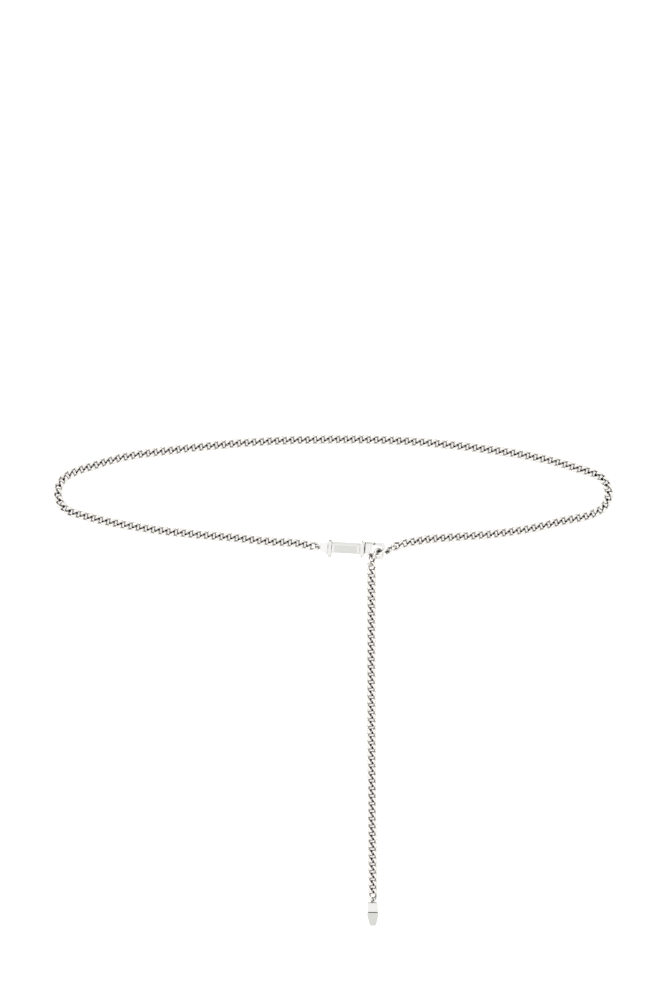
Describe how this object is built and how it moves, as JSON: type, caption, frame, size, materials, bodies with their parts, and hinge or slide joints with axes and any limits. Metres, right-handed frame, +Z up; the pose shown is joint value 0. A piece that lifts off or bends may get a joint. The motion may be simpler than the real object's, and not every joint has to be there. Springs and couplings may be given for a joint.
{
  "type": "waist chain",
  "caption": "Silver-tone curb chain lying in a loop, caught on the hook of a bar clasp, with a long free tail that ends in a pointed metal tip.",
  "frame": {"origin": "middle of the waist loop, in the plane of the surface that the chain lies on", "axes": "+X along the loop's long way and the clasp, +Y away from the tail, +Z up from the surface"},
  "size_m": [0.3681, 0.3228, 0.0065],
  "materials": {
    "chain": "polished rhodium plating over brass",
    "clasp": "polished rhodium plating over brass",
    "clasp_satin": "fine satin rhodium plating over brass",
    "pin": "plain drawn wire"
  },
  "bodies": {
    "root": {"waist_chain": "chain", "tail_chain": "chain", "end_cap": "clasp", "rear_collar": "clasp", "clasp_bar": "clasp_satin", "front_collar": "clasp", "hook": "clasp", "core_pin": "pin", "tail_tip": "clasp_satin"}
  },
  "joints": []
}
